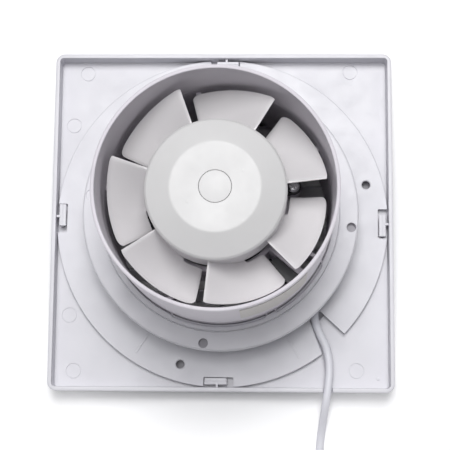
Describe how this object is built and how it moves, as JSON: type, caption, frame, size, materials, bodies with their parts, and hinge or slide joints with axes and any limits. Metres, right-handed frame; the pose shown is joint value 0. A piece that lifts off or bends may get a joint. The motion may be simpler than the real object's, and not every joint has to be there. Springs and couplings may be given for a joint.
{
  "type": "bathroom extractor fan",
  "caption": "Square-faced axial extractor fan for a round duct, with louvred clip-on cover, round wall flange, spigot, motor, bladed impeller and fitted supply cord.",
  "frame": {"origin": "on the duct axis, in the plane of the cover's front face, on which the fan stands", "axes": "+Z along the duct axis, from the louvred face towards the spigot's open end; +X and +Y square to the sides of the front cover, the supply cord leaves over the -Y side"},
  "size_m": [0.155, 0.2565, 0.097],
  "materials": {
    "white_plastic": "satin moulded plastic, slightly cool white",
    "hub_plastic": "satin moulded plastic, neutral white",
    "black_plastic": "moulded black plastic",
    "cord_sheath": "soft white sheath",
    "label_paper": "plain blank film label",
    "nylon": "natural nylon",
    "steel": "zinc-plated",
    "lamination": "stacked steel sheet",
    "brass": "turned",
    "copper": "enamelled copper winding"
  },
  "bodies": {
    "housing": {"front_cover": "white_plastic", "mounting_flange": "white_plastic", "duct_tube": "white_plastic", "rating_label": "label_paper", "stator_core": "lamination", "stator_coil_1": "copper", "stator_coil_2": "copper", "stator_coil_3": "copper", "stator_coil_4": "copper", "motor_cover_inlet": "black_plastic", "motor_cover_outlet": "black_plastic", "bearing_inlet": "brass", "bearing_outlet": "brass", "motor_screw_1": "steel", "motor_screw_2": "steel", "motor_screw_3": "steel", "motor_screw_4": "steel", "wire_cover": "black_plastic", "motor_lead": "black_plastic", "terminal_block": "nylon", "terminal_screw_1": "brass", "terminal_screw_2": "brass", "cord_clip": "nylon", "supply_cord": "cord_sheath", "supply_cord_coil": "cord_sheath", "cord_tie": "black_plastic", "supply_cord_tail": "cord_sheath", "plug_strain_relief": "cord_sheath", "plug_body": "cord_sheath", "plug_pin_1": "brass", "plug_pin_2": "brass"},
    "fan_wheel": {"impeller": "hub_plastic", "hub_cap": "hub_plastic", "motor_shaft": "steel", "shaft_nut": "brass", "rotor_core": "lamination", "thrust_washer_inlet": "nylon", "thrust_washer_outlet": "nylon"}
  },
  "joints": [
    {"name": "impeller_spin", "type": "hinge", "parent": "housing", "child": "fan_wheel", "pos_m": [0, 0, 0.047], "axis": [0, 0, 1], "continuous": true}
  ]
}
